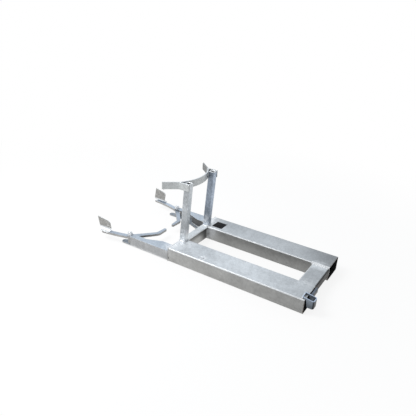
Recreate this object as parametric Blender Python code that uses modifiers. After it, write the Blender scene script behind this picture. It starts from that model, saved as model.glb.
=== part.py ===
"""Drum lifter: a fork-mounted attachment that grips an upright plastic drum by its base.

Metres, +Z up. The lifter's length runs along Y: the forks enter at +Y and the drum stands at -Y.
Left is +X, as the driver sees it. The origin is at ground level on the centre line, below the
front faces of the plates that close the two fork pockets.
"""
import math

import bmesh
import bpy
from mathutils import Matrix, Vector

# Gap between two pieces that touch
FIT = 0.0003

# Fork pockets: two rectangular hollow sections, each closed by an end plate at the front
OVERALL_WIDTH = 0.610
POCKET_WIDTH = 0.180
POCKET_HEIGHT = 0.100
POCKET_LENGTH = 0.970
POCKET_WALL = 0.005
POCKET_CORNER = 0.010
VENT_DIAMETER = 0.008
VENT_FROM_FRONT = 0.261
VENT_FROM_SIDE = 0.035
END_PLATE = 0.006
NOTCH_RADIUS = 0.006
NOTCH_HEIGHT = 0.026

# Front cross member: a hollow beam under a wider flat cap
CAP_THICKNESS = 0.008
CAP_FRONT = -0.006
CAP_DEPTH = 0.051
BEAM_DEPTH = 0.042
BEAM_WALL = 0.004
BEAM_CORNER = 0.005

# Rear cross member: a channel with both lips folded down
CHANNEL_WIDTH = 0.117
CHANNEL_LIP = 0.052
CHANNEL_SHEET = 0.006
CHANNEL_BEND = 0.009
CHANNEL_DROP = 0.010

# Posts: square tubes that lean back from the drum
POST_SIZE = 0.045
POST_WALL = 0.004
POST_CORNER = 0.006
POST_TOP = 0.526
POST_FROM_SIDE = 0.0005
POST_FRONT = -0.001
POST_LEAN = math.radians(3.1)

# Cradle band and its two flared ears, all of one flat bar
BAND_HEIGHT = 0.050
BAND_THICKNESS = 0.008
BAND_ABOVE_POST = 0.003
BAND_RADIUS = 0.300
EAR_LENGTH = 0.108
EAR_FLARE = math.radians(40.0)
EAR_BEND = 0.012
EAR_LAP = 0.046

# Arms: welded boxes that carry the claws
ARM_BOTTOM = 0.006
ARM_TOP = 0.076
ARM_PLATE = 0.008
ARM_WALL = 0.006
ARM_ROOT_WIDTH = 0.0895
ARM_STRAIGHT_LENGTH = 0.105
ARM_TAPER_LENGTH = 0.109
ARM_WALL_INSET = 0.006
INNER_WALL_LENGTH = 0.180
LOWER_FLANGE = 0.020
LOWER_NOSE_REACH = 0.046
OUTER_WALL_GAP = 0.018

# Claw pivots
NOSE_RADIUS = 0.022
PIVOT_REACH = 0.343
PIN_DIAMETER = 0.020
PIN_CHAMFER = 0.0015
PIN_STICKS_OUT = 0.004
WASHER_DIAMETER = 0.037
WASHER_THICKNESS = 0.003
NUT_ACROSS_FLATS = 0.030
NUT_HEIGHT = 0.016
SPACER_DIAMETER = 0.032

# Claws: flat levers, with a straight tail behind the pivot and an arched front half
CLAW_THICKNESS = 0.016
CLAW_HUB_RADIUS = 0.0200
CLAW_RUN = 0.0005
TAIL_ANGLE = math.radians(39.5)
TAIL_TIP_X = 0.048
TAIL_ROOT_WIDTH = 0.034
TAIL_ELBOW_WIDTH = 0.028
TAIL_ELBOW_RADIUS = 0.040
TAIL_TIP_LENGTH = 0.080
TAIL_TIP_WIDTH = 0.020
TAIL_TIP_ANGLE = math.radians(1.5)
FRONT_START_ANGLE = math.radians(18.5)
FRONT_RADIUS = 1.000
FRONT_LENGTH = 0.252
FRONT_CUT = 0.036
FRONT_WIDTH = 0.033
HUB_BLEND = 0.050

# Spoons: bent plates that stand on the claws and lean away from the drum
SPOON_THICKNESS = 0.006
SPOON_LENGTH = 0.102
SPOON_HEIGHT = 0.100
SPOON_FOOT = 0.009
SPOON_BEND = 0.022
SPOON_LEAN = math.radians(12.5)
SPOON_CORNER = 0.024
SPOON_TOP_SLANT = math.radians(9.5)
SPOON_START = 0.150
SPOON_OUT = 0.032
SPOON_FLARE = math.radians(2.5)

# Fork latch at the rear end of the left pocket: a strap bent to a U, with a flap beside it
LATCH_STRAP = 0.006
LATCH_WIDTH = 0.057
LATCH_FROM_SIDE = 0.010
LATCH_NOSE_REACH = 0.025
LATCH_TAIL_REACH = 0.053
LATCH_TOP_FALL = 0.012
LATCH_BOTTOM = 0.050
LATCH_CORNER = 0.010
LATCH_FRONT_GAP = 0.004
LATCH_FRONT_SLOPE = 0.010
LATCH_NOSE_RADIUS = 0.006
BARREL_DIAMETER = 0.011
LATCH_PIN_DIAMETER = 0.006
LATCH_PIN_HEAD = 0.010
LATCH_PIN_HEAD_HEIGHT = 0.003
FLAP_HEIGHT = 0.030
FLAP_THICKNESS = 0.014
FLAP_TOP_DROP = 0.006
FLAP_SIDE_GAP = 0.004

# Facets of round stretches
CIRCLE_STEPS = 32
ARC_STEPS = 8

# Places that follow from the sizes above
OUT_X = OVERALL_WIDTH / 2
POCKET_INNER_X = OUT_X - POCKET_WIDTH
POCKET_FRONT = END_PLATE + FIT
ARM_START = -FIT
ARM_BEND_Y = ARM_START - ARM_STRAIGHT_LENGTH
PIVOT_X = OUT_X - NOSE_RADIUS
PIVOT_Y = -PIVOT_REACH
LOWER_NOSE_Y = PIVOT_Y - LOWER_NOSE_REACH
TAPER_END_X = PIVOT_X - NOSE_RADIUS
TAPER_SLOPE = (TAPER_END_X - (OUT_X - ARM_ROOT_WIDTH)) / ARM_TAPER_LENGTH
PLATE_GAP_BOTTOM = ARM_BOTTOM + ARM_PLATE + FIT
PLATE_GAP_TOP = ARM_TOP - ARM_PLATE - FIT
TAIL_BEND_X = TAIL_TIP_X + TAIL_TIP_LENGTH * math.cos(TAIL_TIP_ANGLE)
TAIL_STRAIGHT = (PIVOT_X - TAIL_BEND_X) / math.cos(TAIL_ANGLE)
CLAW_TOP = ARM_TOP - ARM_PLATE - CLAW_RUN
CLAW_BOTTOM = CLAW_TOP - CLAW_THICKNESS
POST_OUTER_X = POCKET_INNER_X + POST_FROM_SIDE + POST_SIZE
BAND_BOTTOM = POST_TOP + BAND_ABOVE_POST - BAND_HEIGHT
POST_FRONT_AT_BAND = POST_FRONT + math.tan(POST_LEAN) * (BAND_BOTTOM - POCKET_HEIGHT)
LATCH_OUTER_X = OUT_X - LATCH_FROM_SIDE
LATCH_INNER_X = LATCH_OUTER_X - LATCH_WIDTH
LATCH_MID_X = LATCH_OUTER_X - LATCH_WIDTH / 2
HINGE_Y = POCKET_LENGTH - LATCH_NOSE_REACH + LATCH_NOSE_RADIUS
HINGE_Z = POCKET_HEIGHT + FIT + LATCH_NOSE_RADIUS


def clear_scene():
    """Remove every object, so that the script starts from an empty scene."""
    for obj in list(bpy.data.objects):
        bpy.data.objects.remove(obj, do_unlink=True)


def new_collection(name):
    """Make a collection in the scene."""
    collection = bpy.data.collections.new(name)
    bpy.context.scene.collection.children.link(collection)
    return collection


def new_material(name, colour, roughness, metallic):
    """Make a Principled material with one colour, roughness and metallic value."""
    material = bpy.data.materials.new(name)
    material.use_nodes = True
    shader = material.node_tree.nodes["Principled BSDF"]
    shader.inputs["Base Color"].default_value = (*colour, 1.0)
    shader.inputs["Roughness"].default_value = roughness
    shader.inputs["Metallic"].default_value = metallic
    return material


clear_scene()
PARTS = new_collection("drum_lifter")
CUTTERS = new_collection("cutters")
GALVANISED = new_material("galvanised_steel", (0.60, 0.63, 0.66), 0.42, 0.7)
GALVANISED_DULL = new_material("dull_galvanised_steel", (0.50, 0.51, 0.50), 0.55, 0.6)
ZINC_PLATED = new_material("zinc_plated_steel", (0.74, 0.75, 0.76), 0.28, 0.9)


def settle(obj, name, material, parent=None):
    """Name an object, give it its material and parent, and keep it in the parts collection only."""
    obj.name = name
    obj.data.name = name
    obj.data.materials.clear()
    obj.data.materials.append(material)
    for owner in list(obj.users_collection):
        owner.objects.unlink(obj)
    PARTS.objects.link(obj)
    obj.parent = parent
    return obj


def make_cutter(obj):
    """Hide an object that only cuts another, in the cutters collection."""
    PARTS.objects.unlink(obj)
    CUTTERS.objects.link(obj)
    obj.hide_render = True
    obj.display_type = "WIRE"
    return obj


def new_pivot(name, location):
    """Make an empty on a joint's axis, for the pieces that turn about it."""
    pivot = bpy.data.objects.new(name, None)
    pivot.location = location
    pivot.empty_display_size = 0.05
    PARTS.objects.link(pivot)
    return pivot


def finished_mesh(obj):
    """The object's mesh with its modifiers applied and its loose seams welded."""
    depsgraph = bpy.context.evaluated_depsgraph_get()
    mesh = bpy.data.meshes.new_from_object(obj.evaluated_get(depsgraph))
    welded = bmesh.new()
    welded.from_mesh(mesh)
    bmesh.ops.remove_doubles(welded, verts=welded.verts, dist=0.00001)
    welded.to_mesh(mesh)
    welded.free()
    return mesh


def as_mesh(obj):
    """Turn a curve, or an object with modifiers, into a plain mesh object in the same place."""
    name, material, parent = obj.name, obj.active_material, obj.parent
    solid = bpy.data.objects.new(name, finished_mesh(obj))
    solid.matrix_basis = obj.matrix_basis.copy()
    bpy.data.objects.remove(obj, do_unlink=True)
    return settle(solid, name, material, parent)


def mirrored(source, name, parent=None):
    """The same piece for the right-hand side, turned over at the centre plane."""
    flip = Matrix.Diagonal((-1.0, 1.0, 1.0, 1.0))
    mesh = finished_mesh(source)
    mesh.transform(flip)
    mesh.flip_normals()
    twin = bpy.data.objects.new(name, mesh)
    twin.matrix_basis = flip @ source.matrix_basis @ flip
    return settle(twin, name, source.active_material, parent)


def boolean(obj, cutter, operation):
    """Cut an object by another, or keep only what both share."""
    cut = obj.modifiers.new(operation.lower(), "BOOLEAN")
    cut.operation = operation
    cut.solver = "EXACT"
    cut.object = make_cutter(cutter)


def arc(centre, radius, start, end, steps=ARC_STEPS):
    """Points of a round stretch, from one angle to another in degrees."""
    points = []
    for step in range(steps + 1):
        angle = math.radians(start + (end - start) * step / steps)
        points.append((centre[0] + radius * math.cos(angle), centre[1] + radius * math.sin(angle)))
    return points


def circle(centre, radius, steps=CIRCLE_STEPS):
    """Points of a full circle."""
    return arc(centre, radius, 0.0, 360.0 * (steps - 1) / steps, steps - 1)


def new_curve(name, outlines, depth, closed):
    """A flat curve through one or more lists of points, extruded to a depth."""
    curve = bpy.data.curves.new(name, "CURVE")
    curve.dimensions = "2D"
    curve.fill_mode = "BOTH" if closed else "NONE"
    curve.extrude = depth / 2
    for outline in outlines:
        spline = curve.splines.new("POLY")
        spline.points.add(len(outline) - 1)
        for point, (x, y) in zip(spline.points, outline):
            point.co = (x, y, 0.0, 1.0)
        spline.use_cyclic_u = closed
    return bpy.data.objects.new(name, curve)


def stand(obj, x):
    """Turn a flat curve so that its X and Y become the world's Y and Z, at one place along X."""
    obj.rotation_euler = (math.pi / 2, 0.0, math.pi / 2)
    obj.location = (x, 0.0, 0.0)


def flat_plate(name, outlines, bottom, thickness, material, parent=None):
    """A lying plate. The first outline is its edge, and the others are holes."""
    obj = new_curve(name, outlines, thickness, True)
    obj.location = (0.0, 0.0, bottom + thickness / 2)
    return settle(obj, name, material, parent)


def side_plate(name, outlines, middle_x, thickness, material, parent=None):
    """A plate that stands along the lifter, from outlines in the YZ plane."""
    obj = new_curve(name, outlines, thickness, True)
    stand(obj, middle_x)
    return settle(obj, name, material, parent)


def thicken(obj, thickness):
    """Give an open surface its sheet thickness, half to each side."""
    shell = obj.modifiers.new("sheet", "SOLIDIFY")
    shell.thickness = thickness
    shell.offset = 0.0
    shell.use_even_offset = True


def bent_bar(name, path, bottom, height, thickness, material, parent=None):
    """A flat bar on edge, bent along a path in the XY plane that runs through its middle."""
    obj = new_curve(name, [path], height, False)
    obj.location = (0.0, 0.0, bottom + height / 2)
    thicken(obj, thickness)
    return settle(obj, name, material, parent)


def box(name, low, high, material, parent=None):
    """A solid block between two opposite corners."""
    low, high = Vector(low), Vector(high)
    bpy.ops.mesh.primitive_cube_add(size=1.0, location=(low + high) / 2)
    obj = bpy.context.active_object
    obj.data.transform(Matrix.Diagonal((*(high - low), 1.0)))
    return settle(obj, name, material, parent)


def hollow_section(name, low, high, axis, wall, corner, material, lean=0.0):
    """A rectangular tube, open at both ends along one axis. It may lean back as it rises."""
    obj = box(name, low, high, material)
    tube = bmesh.new()
    tube.from_mesh(obj.data)
    ends = [face for face in tube.faces if round(abs(face.normal[axis]))]
    bmesh.ops.delete(tube, geom=ends, context="FACES_ONLY")
    lowest = min(vertex.co.z for vertex in tube.verts)
    for vertex in tube.verts:
        vertex.co.y += math.tan(lean) * (vertex.co.z - lowest)
    tube.to_mesh(obj.data)
    tube.free()
    rounding = obj.modifiers.new("corners", "BEVEL")
    rounding.width = corner
    rounding.segments = 5
    shell = obj.modifiers.new("wall", "SOLIDIFY")
    shell.thickness = wall
    shell.offset = -1.0
    shell.use_even_offset = True
    return obj


def turned(name, profile, closed, location, material, rotation=(0.0, 0.0, 0.0), parent=None):
    """A round piece, from (radius, height) points that run down its outer side."""
    points = [(radius, 0.0, height) for radius, height in profile]
    edges = [(index, index + 1) for index in range(len(points) - 1)]
    if closed:
        edges.append((len(points) - 1, 0))
    mesh = bpy.data.meshes.new(name)
    mesh.from_pydata(points, edges, [])
    obj = bpy.data.objects.new(name, mesh)
    obj.location = location
    obj.rotation_euler = rotation
    screw = obj.modifiers.new("turn", "SCREW")
    screw.angle = 2 * math.pi
    screw.steps = CIRCLE_STEPS
    screw.render_steps = CIRCLE_STEPS
    screw.use_merge_vertices = True
    screw.merge_threshold = 0.00001
    screw.use_smooth_shade = True
    return settle(obj, name, material, parent)


def ring(name, outer, inner, bottom, height, centre, material, rotation=(0.0, 0.0, 0.0)):
    """A washer or a plain tube."""
    top = bottom + height
    profile = [(outer, top), (outer, bottom), (inner, bottom), (inner, top)]
    return turned(name, profile, True, centre, material, rotation)


def headed_rod(name, radius, length, chamfer, location, material):
    """An upright pin with both ends chamfered."""
    profile = [
        (0.0, length),
        (radius - chamfer, length),
        (radius, length - chamfer),
        (radius, chamfer),
        (radius - chamfer, 0.0),
        (0.0, 0.0),
    ]
    return turned(name, profile, False, location, material)


def build_pockets():
    """The two fork pockets and the plates that close their front ends."""
    for side, hand in ((1, "left"), (-1, "right")):
        across = sorted((side * POCKET_INNER_X, side * OUT_X))
        low = (across[0], POCKET_FRONT, 0.0)
        high = (across[1], POCKET_LENGTH, POCKET_HEIGHT)
        hollow_section(f"fork_pocket_{hand}", low, high, 1, POCKET_WALL, POCKET_CORNER, GALVANISED)
        low = (across[0], 0.0, 0.0)
        high = (across[1], END_PLATE, POCKET_HEIGHT)
        box(f"pocket_end_plate_{hand}", low, high, GALVANISED_DULL)


def drill_vent():
    """The zinc vent hole in the top wall of the left pocket."""
    bpy.ops.mesh.primitive_cylinder_add(
        vertices=12,
        radius=VENT_DIAMETER / 2,
        depth=4 * POCKET_WALL,
        location=(OUT_X - VENT_FROM_SIDE, VENT_FROM_FRONT, POCKET_HEIGHT),
    )
    drill = settle(bpy.context.active_object, "vent_drill", GALVANISED)
    boolean(bpy.data.objects["fork_pocket_left"], drill, "DIFFERENCE")


def cut_drain_notches():
    """A half-round zinc drain notch low in each pocket's outer wall, at its front edge."""
    for side, hand in ((1, "left"), (-1, "right")):
        bpy.ops.mesh.primitive_cylinder_add(
            vertices=16,
            radius=NOTCH_RADIUS,
            depth=4 * POCKET_WALL,
            location=(side * OUT_X, POCKET_FRONT, NOTCH_HEIGHT),
            rotation=(0.0, math.pi / 2, 0.0),
        )
        cutter = settle(bpy.context.active_object, f"drain_notch_cutter_{hand}", GALVANISED)
        boolean(bpy.data.objects[f"fork_pocket_{hand}"], cutter, "DIFFERENCE")


def build_front_cross_member():
    """The flat cap and the hollow beam under it, between the pockets at the posts."""
    half = POCKET_INNER_X - FIT
    cap_low = (-half, CAP_FRONT, POCKET_HEIGHT - CAP_THICKNESS)
    box("front_cross_cap", cap_low, (half, CAP_FRONT + CAP_DEPTH, POCKET_HEIGHT), GALVANISED)
    beam_low = (-half, CAP_FRONT, 0.0)
    beam_high = (half, CAP_FRONT + BEAM_DEPTH, POCKET_HEIGHT - CAP_THICKNESS - FIT)
    hollow_section("front_cross_beam", beam_low, beam_high, 0, BEAM_WALL, BEAM_CORNER, GALVANISED)


def build_rear_cross_member():
    """The folded channel between the pockets' rear ends, a little lower than their tops."""
    half_sheet = CHANNEL_SHEET / 2
    front = POCKET_LENGTH - CHANNEL_WIDTH + half_sheet
    rear = POCKET_LENGTH - half_sheet
    top = POCKET_HEIGHT - CHANNEL_DROP - half_sheet
    bottom = top + half_sheet - CHANNEL_LIP
    path = [(front, bottom)]
    path += arc((front + CHANNEL_BEND, top - CHANNEL_BEND), CHANNEL_BEND, 180.0, 90.0, 4)
    path += arc((rear - CHANNEL_BEND, top - CHANNEL_BEND), CHANNEL_BEND, 90.0, 0.0, 4)
    path.append((rear, bottom))
    channel = new_curve("rear_cross_channel", [path], 2 * (POCKET_INNER_X - FIT), False)
    stand(channel, 0.0)
    thicken(channel, CHANNEL_SHEET)
    settle(channel, "rear_cross_channel", GALVANISED)


def build_posts():
    """Two leaning posts with open tops, on the pockets' inner front corners."""
    for side, hand in ((1, "left"), (-1, "right")):
        across = sorted((side * (POST_OUTER_X - POST_SIZE), side * POST_OUTER_X))
        low = (across[0], POST_FRONT, POCKET_HEIGHT + FIT)
        high = (across[1], POST_FRONT + POST_SIZE, POST_TOP)
        hollow_section(f"post_{hand}", low, high, 2, POST_WALL, POST_CORNER, GALVANISED, POST_LEAN)


def band_centre_y():
    """Centre of the band's arc, with its outer face against the posts' rounded inner front corners."""
    corner_x = POST_OUTER_X - POST_SIZE + POST_CORNER
    corner_y = POST_FRONT_AT_BAND + POST_CORNER
    reach = BAND_RADIUS + BAND_THICKNESS / 2 + FIT + POST_CORNER
    return corner_y - math.sqrt(reach ** 2 - corner_x ** 2)


def ear_path():
    """Middle line of the left ear: along the post's outer side, round a bend, and out to its tip."""
    x = POST_OUTER_X + FIT + BAND_THICKNESS / 2
    bend_y = band_centre_y() + math.sqrt(BAND_RADIUS ** 2 - POST_OUTER_X ** 2)
    flare = math.degrees(EAR_FLARE)
    path = [(x, POST_FRONT_AT_BAND + EAR_LAP)]
    path += arc((x + EAR_BEND, bend_y), EAR_BEND, 180.0, 180.0 + flare, 4)
    last = path[-1]
    path.append((last[0] + EAR_LENGTH * math.sin(EAR_FLARE), last[1] - EAR_LENGTH * math.cos(EAR_FLARE)))
    return path


def build_cradle():
    """The arched band that the drum's side rests against, and the ears that lead the drum in."""
    outer_radius = BAND_RADIUS + BAND_THICKNESS / 2
    half_angle = math.degrees(math.asin(POST_OUTER_X / outer_radius))
    path = arc((0.0, band_centre_y()), BAND_RADIUS, 90.0 - half_angle, 90.0 + half_angle, 3 * ARC_STEPS)
    bent_bar("cradle_band", path, BAND_BOTTOM, BAND_HEIGHT, BAND_THICKNESS, GALVANISED)
    ear = bent_bar("cradle_ear_left", ear_path(), BAND_BOTTOM, BAND_HEIGHT, BAND_THICKNESS, GALVANISED)
    mirrored(ear, "cradle_ear_right")


def arm_outline(nose_y, flange):
    """Outline of an arm's top or bottom plate, with a half-round nose."""
    root_x = OUT_X - ARM_ROOT_WIDTH - flange
    taper_end_y = ARM_BEND_Y - (TAPER_END_X - root_x) / TAPER_SLOPE
    outline = [(OUT_X, ARM_START)]
    outline += arc((PIVOT_X, nose_y), NOSE_RADIUS, 0.0, -180.0, 2 * ARC_STEPS)
    outline += [(TAPER_END_X, taper_end_y), (root_x, ARM_BEND_Y), (root_x, ARM_START)]
    return outline


def outer_wall_outline():
    """Outline of an arm's outer wall in the YZ plane."""
    end = PIVOT_Y + OUTER_WALL_GAP
    lower = [(ARM_START, PLATE_GAP_BOTTOM), (end, PLATE_GAP_BOTTOM)]
    return lower + [(end, PLATE_GAP_TOP), (ARM_START, PLATE_GAP_TOP)]


def inner_wall_outline():
    """Outline of an arm's bent inner wall, seen from above: it follows the top plate's edge."""
    root_x = OUT_X - ARM_ROOT_WIDTH + ARM_WALL_INSET
    end_y = ARM_START - INNER_WALL_LENGTH
    end_x = root_x + TAPER_SLOPE * (ARM_BEND_Y - end_y)
    near_edge = [(root_x, ARM_START), (root_x, ARM_BEND_Y), (end_x, end_y)]
    far_edge = [(x + ARM_WALL, y) for x, y in reversed(near_edge)]
    return near_edge + far_edge


def build_arms():
    """The two box arms: top and bottom plates, outer and inner walls."""
    bore = circle((PIVOT_X, PIVOT_Y), PIN_DIAMETER / 2 + FIT)
    wall_height = PLATE_GAP_TOP - PLATE_GAP_BOTTOM
    top = [arm_outline(PIVOT_Y, 0.0), bore]
    bottom = [arm_outline(LOWER_NOSE_Y, LOWER_FLANGE), bore]
    inner = [inner_wall_outline()]
    pieces = (
        flat_plate("arm_top_plate_left", top, ARM_TOP - ARM_PLATE, ARM_PLATE, GALVANISED),
        flat_plate("arm_bottom_plate_left", bottom, ARM_BOTTOM, ARM_PLATE, GALVANISED_DULL),
        side_plate("arm_outer_wall_left", [outer_wall_outline()], OUT_X - ARM_WALL / 2, ARM_WALL, GALVANISED_DULL),
        flat_plate("arm_inner_wall_left", inner, PLATE_GAP_BOTTOM, wall_height, GALVANISED_DULL),
    )
    for piece in pieces:
        mirrored(piece, piece.name.replace("_left", "_right"))


def hexagon(across_flats):
    """Corners of a hexagon about the origin."""
    return circle((0.0, 0.0), across_flats / math.sqrt(3), 6)


def build_pivots():
    """On each arm: the pin, the spacer that carries the claw, the washer and the nut."""
    pin_radius = PIN_DIAMETER / 2
    pin_length = ARM_TOP + WASHER_THICKNESS + NUT_HEIGHT + PIN_STICKS_OUT - ARM_BOTTOM
    bore = pin_radius + FIT
    nut_bottom = ARM_TOP + WASHER_THICKNESS + 2 * FIT
    spacer_height = CLAW_BOTTOM - FIT - PLATE_GAP_BOTTOM
    for side, hand in ((1, "left"), (-1, "right")):
        centre = (side * PIVOT_X, PIVOT_Y, 0.0)
        pin_foot = (centre[0], centre[1], ARM_BOTTOM)
        headed_rod(f"pivot_pin_{hand}", pin_radius, pin_length, PIN_CHAMFER, pin_foot, ZINC_PLATED)
        ring(
            f"claw_spacer_{hand}",
            SPACER_DIAMETER / 2,
            bore,
            PLATE_GAP_BOTTOM,
            spacer_height,
            centre,
            GALVANISED_DULL,
        )
        ring(
            f"pivot_washer_{hand}",
            WASHER_DIAMETER / 2,
            bore,
            ARM_TOP + FIT,
            WASHER_THICKNESS,
            centre,
            ZINC_PLATED,
        )
        outlines = [hexagon(NUT_ACROSS_FLATS), circle((0.0, 0.0), bore)]
        nut = flat_plate(f"pivot_nut_{hand}", outlines, nut_bottom, NUT_HEIGHT, ZINC_PLATED)
        nut.location.x = centre[0]
        nut.location.y = centre[1]


def offset(point, heading, distance):
    """A point moved sideways, to the left of a heading, by a distance."""
    return (point[0] - distance * math.sin(heading), point[1] + distance * math.cos(heading))


def step(point, heading, distance):
    """A point moved along a heading by a distance."""
    return (point[0] + distance * math.cos(heading), point[1] + distance * math.sin(heading))


def front_station(run):
    """Centre and heading on the left claw's arched front half, at a run from the pivot."""
    start = -math.pi / 2 + FRONT_START_ANGLE
    turn = run / FRONT_RADIUS
    chord = 2 * FRONT_RADIUS * math.sin(turn / 2)
    return step((0.0, 0.0), start - turn / 2, chord), start - turn


def front_edge(end_run, distance):
    """One long edge of the left claw's front half, from the hub to the end run."""
    edge = []
    for index in range(ARC_STEPS + 1):
        point, heading = front_station(HUB_BLEND + (end_run - HUB_BLEND) * index / ARC_STEPS)
        edge.append(offset(point, heading, distance))
    return edge


def tail_edge(distance):
    """The bent stretch of one long edge of the left claw's tail, towards its tip."""
    tail = math.pi - TAIL_ANGLE
    turn = TAIL_ANGLE - TAIL_TIP_ANGLE
    bend_start = step((0.0, 0.0), tail, TAIL_STRAIGHT - TAIL_ELBOW_RADIUS * math.tan(turn / 2))
    centre = offset(bend_start, tail, TAIL_ELBOW_RADIUS)
    start = math.degrees(tail) - 90.0
    return arc(centre, TAIL_ELBOW_RADIUS - distance, start, start + math.degrees(turn))


def claw_outline():
    """Outline of the left claw about its pivot, seen from above."""
    tail = math.pi - TAIL_ANGLE
    tip = math.pi - TAIL_TIP_ANGLE
    root = step((0.0, 0.0), tail, HUB_BLEND)
    elbow = step((0.0, 0.0), tail, TAIL_STRAIGHT)
    end = step(elbow, tip, TAIL_TIP_LENGTH)
    outer_edge = front_edge(FRONT_LENGTH - FRONT_CUT, FRONT_WIDTH / 2)
    inner_edge = list(reversed(front_edge(FRONT_LENGTH, -FRONT_WIDTH / 2)))
    front_heading = front_station(0.0)[1]
    hub_start = math.degrees(tail) - 90.0
    hub_end = math.degrees(front_heading) + 90.0
    crotch = (math.degrees(tail) + math.degrees(front_heading)) / 2 + 180.0
    outline = arc((0.0, 0.0), CLAW_HUB_RADIUS, hub_start, hub_end, 4)
    outline += outer_edge + inner_edge
    outline += arc((0.0, 0.0), CLAW_HUB_RADIUS, crotch, crotch, 1)[:1]
    outline.append(offset(root, tail, TAIL_ROOT_WIDTH / 2))
    outline += tail_edge(TAIL_ELBOW_WIDTH / 2)
    tip_angle = math.degrees(tip)
    outline += arc(end, TAIL_TIP_WIDTH / 2, tip_angle + 90.0, tip_angle - 90.0)
    outline += reversed(tail_edge(-TAIL_ELBOW_WIDTH / 2))
    outline.append(offset(root, tail, -TAIL_ROOT_WIDTH / 2))
    return outline


def spoon_path():
    """Section of a spoon: its foot, its bend and its leaning blade, with outward as X and up as Y."""
    half = SPOON_THICKNESS / 2
    lean = math.degrees(SPOON_LEAN)
    centre = (SPOON_BEND, half + SPOON_BEND)
    path = [(SPOON_BEND + SPOON_FOOT, half)]
    path += arc(centre, SPOON_BEND, 270.0, 180.0 - lean)
    last = path[-1]
    rise = SPOON_HEIGHT - last[1]
    path.append((last[0] + rise * math.tan(SPOON_LEAN), SPOON_HEIGHT))
    return path


def spoon_top_cutter():
    """A block that slants the blade's top edge down towards the pivot and rounds its corner there."""
    rise = SPOON_LENGTH * math.tan(SPOON_TOP_SLANT)
    outline = arc((0.0, 0.0), SPOON_CORNER, 0.0, 90.0 - math.degrees(SPOON_TOP_SLANT))
    rounded = outline[-1]
    outline.append((rounded[0] - SPOON_LENGTH, rounded[1] + rise))
    outline += [(rounded[0] - SPOON_LENGTH, SPOON_HEIGHT), (SPOON_LENGTH, SPOON_HEIGHT), (SPOON_LENGTH, 0.0)]
    cutter = new_curve("spoon_top_cutter", [outline], 3 * SPOON_LENGTH, True)
    stand(cutter, 0.0)
    return as_mesh(settle(cutter, "spoon_top_cutter", GALVANISED))


def spoon_corner_drop():
    """How far the rounded corner's centre lies below that of a blade with a level top."""
    straight = SPOON_LENGTH - SPOON_CORNER
    return straight * math.tan(SPOON_TOP_SLANT) + SPOON_CORNER / math.cos(SPOON_TOP_SLANT) - SPOON_CORNER


def spoon_foot_cutter(front_end):
    """A wedge that cuts the spoon's foot on the slant, in line with the oblique end of the claw."""
    inner_end = front_edge(FRONT_LENGTH, -FRONT_WIDTH / 2)[-1]
    outer_end = front_edge(FRONT_LENGTH - FRONT_CUT, FRONT_WIDTH / 2)[-1]
    slant = math.atan2(outer_end[1] - inner_end[1], outer_end[0] - inner_end[0])
    outline = [front_end, step(front_end, -math.pi / 2, SPOON_LENGTH), step(front_end, slant, SPOON_LENGTH)]
    cutter = flat_plate("spoon_foot_cutter", [outline], CLAW_TOP - SPOON_BEND, 2 * SPOON_BEND, GALVANISED)
    return as_mesh(cutter)


def build_claws():
    """The two claws, each on a pivot of its own: a flat lever and the spoon on its front half."""
    bore = circle((0.0, 0.0), PIN_DIAMETER / 2 + CLAW_RUN)
    outlines = [claw_outline(), bore]
    pivots = {
        "left": new_pivot("claw_pivot_left", (PIVOT_X, PIVOT_Y, 0.0)),
        "right": new_pivot("claw_pivot_right", (-PIVOT_X, PIVOT_Y, 0.0)),
    }
    lever = flat_plate("claw_lever_left", outlines, CLAW_BOTTOM, CLAW_THICKNESS, GALVANISED, pivots["left"])
    mirrored(lever, "claw_lever_right", pivots["right"])

    spoon = new_curve("claw_spoon_left", [spoon_path()], SPOON_LENGTH, False)
    thicken(spoon, SPOON_THICKNESS)
    spoon.rotation_euler = (math.pi / 2, 0.0, SPOON_FLARE)
    heading = -math.pi / 2 + SPOON_FLARE
    foot = step((SPOON_OUT, -SPOON_START), heading, SPOON_LENGTH / 2)
    spoon.location = (foot[0], foot[1], CLAW_TOP + FIT)
    settle(spoon, "claw_spoon_left", GALVANISED, pivots["left"])
    spoon = as_mesh(spoon)
    cutter = spoon_top_cutter()
    corner = step((SPOON_OUT, -SPOON_START), heading, SPOON_CORNER)
    corner_top = CLAW_TOP + FIT + SPOON_HEIGHT - spoon_corner_drop()
    cutter.location = (corner[0], corner[1], corner_top - SPOON_CORNER)
    cutter.rotation_euler = (math.pi / 2, 0.0, math.pi / 2 + SPOON_FLARE)
    cutter.parent = pivots["left"]
    boolean(spoon, cutter, "DIFFERENCE")
    foot_cutter = spoon_foot_cutter(step((SPOON_OUT, -SPOON_START), heading, SPOON_LENGTH))
    foot_cutter.parent = pivots["left"]
    boolean(spoon, foot_cutter, "DIFFERENCE")
    mirrored(spoon, "claw_spoon_right", pivots["right"])


def latch_side_outline():
    """Side view of the latch: its nose lies on the pocket, and its tail hangs behind the pocket's end."""
    top = HINGE_Z + LATCH_NOSE_RADIUS
    rear = POCKET_LENGTH + LATCH_TAIL_REACH + LATCH_STRAP
    step_y = POCKET_LENGTH + LATCH_FRONT_GAP
    outline = arc((HINGE_Y, HINGE_Z), LATCH_NOSE_RADIUS, 90.0, 270.0)
    outline += [
        (step_y, HINGE_Z - LATCH_NOSE_RADIUS),
        (step_y + LATCH_FRONT_SLOPE, LATCH_BOTTOM),
        (rear, LATCH_BOTTOM),
        (rear, top - LATCH_TOP_FALL),
    ]
    return outline


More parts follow.
